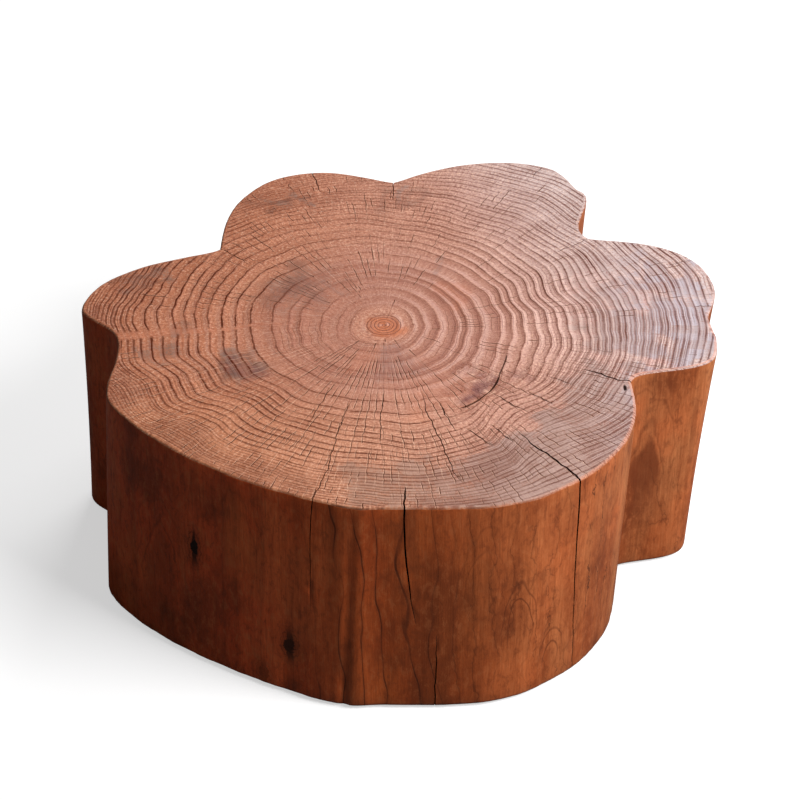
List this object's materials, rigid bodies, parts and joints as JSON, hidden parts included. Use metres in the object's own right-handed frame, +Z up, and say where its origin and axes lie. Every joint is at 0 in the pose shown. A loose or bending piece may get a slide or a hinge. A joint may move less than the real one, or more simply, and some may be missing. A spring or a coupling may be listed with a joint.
{
  "type": "live edge coffee table",
  "caption": "Low coffee table made of one lobed slice of debarked trunk, sawn flat, with drying checks, standing on screwed felt glides.",
  "frame": {"origin": "on the floor, under the middle of the table's overall plan", "axes": "+X to the right along the longest side, +Y to the back, +Z up"},
  "size_m": [0.9185, 0.8411, 0.355],
  "materials": {
    "log_wood": "oiled, brushed end grain over a smooth debarked wall",
    "cup_nylon": "matte dark nylon",
    "pad_felt": "dense wool felt",
    "screw_steel": "zinc plated"
  },
  "bodies": {
    "root": {"log_section": "log_wood", "glide_cup_1": "cup_nylon", "glide_cup_2": "cup_nylon", "glide_cup_3": "cup_nylon", "glide_cup_4": "cup_nylon", "glide_cup_5": "cup_nylon", "glide_cup_6": "cup_nylon", "felt_pad_1": "pad_felt", "felt_pad_2": "pad_felt", "felt_pad_3": "pad_felt", "felt_pad_4": "pad_felt", "felt_pad_5": "pad_felt", "felt_pad_6": "pad_felt", "glide_screws": "screw_steel"}
  },
  "joints": []
}
